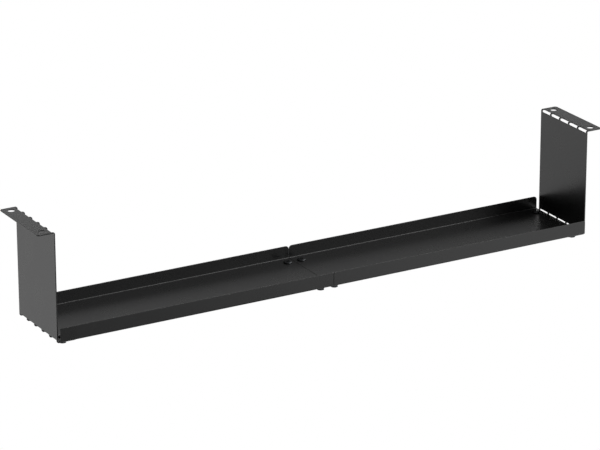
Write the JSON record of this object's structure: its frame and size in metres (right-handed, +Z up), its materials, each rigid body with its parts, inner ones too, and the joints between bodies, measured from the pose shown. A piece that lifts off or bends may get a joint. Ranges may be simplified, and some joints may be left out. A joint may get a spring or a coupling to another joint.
{
  "type": "cable tray",
  "caption": "Long shallow under-desk cable tray of sheet channels joined end to end, hung at its ends from perforated fold-by-hand sheet hangers with drilled top flanges.",
  "frame": {"origin": "on the surface that the screw ends stand on, below the middle of the seam between the two tray sections", "axes": "+X along the tray to the right seen from the front, +Y from the front lip to the back wall, +Z up"},
  "size_m": [0.91, 0.13, 0.1664],
  "materials": {
    "powder_coat": "satin black powder coat with a very fine texture",
    "black_zinc": "black zinc plate, semi-gloss"
  },
  "bodies": {
    "root": {"tray_section_left": "powder_coat", "tray_section_right": "powder_coat", "splice_plate": "powder_coat", "hanger_left_foot": "powder_coat", "hanger_right_foot": "powder_coat", "screw_end_left_front": "black_zinc", "nut_end_left_front": "black_zinc", "screw_end_left_back": "black_zinc", "nut_end_left_back": "black_zinc", "screw_end_right_front": "black_zinc", "nut_end_right_front": "black_zinc", "screw_end_right_back": "black_zinc", "nut_end_right_back": "black_zinc", "screw_seam_left_front": "black_zinc", "nut_seam_left_front": "black_zinc", "screw_seam_left_back": "black_zinc", "nut_seam_left_back": "black_zinc", "screw_seam_right_front": "black_zinc", "nut_seam_right_front": "black_zinc", "screw_seam_right_back": "black_zinc", "nut_seam_right_back": "black_zinc"},
    "left_plate": {"hanger_left_plate": "powder_coat"},
    "left_flange": {"hanger_left_top_flange": "powder_coat"},
    "right_plate": {"hanger_right_plate": "powder_coat"},
    "right_flange": {"hanger_right_top_flange": "powder_coat"}
  },
  "joints": [
    {"name": "left_lower_fold", "type": "hinge", "parent": "root", "child": "left_plate", "pos_m": [-0.42887, 0, 0.00753], "axis": [0, -1, 0], "range_deg": [0, 90]},
    {"name": "left_upper_fold", "type": "hinge", "parent": "left_plate", "child": "left_flange", "pos_m": [-0.42963, 0, 0.16527], "axis": [0, 1, 0], "range_deg": [0, 90]},
    {"name": "right_lower_fold", "type": "hinge", "parent": "root", "child": "right_plate", "pos_m": [0.42887, 0, 0.00753], "axis": [0, 1, 0], "range_deg": [0, 90]},
    {"name": "right_upper_fold", "type": "hinge", "parent": "right_plate", "child": "right_flange", "pos_m": [0.42963, 0, 0.16527], "axis": [0, -1, 0], "range_deg": [0, 90]}
  ]
}
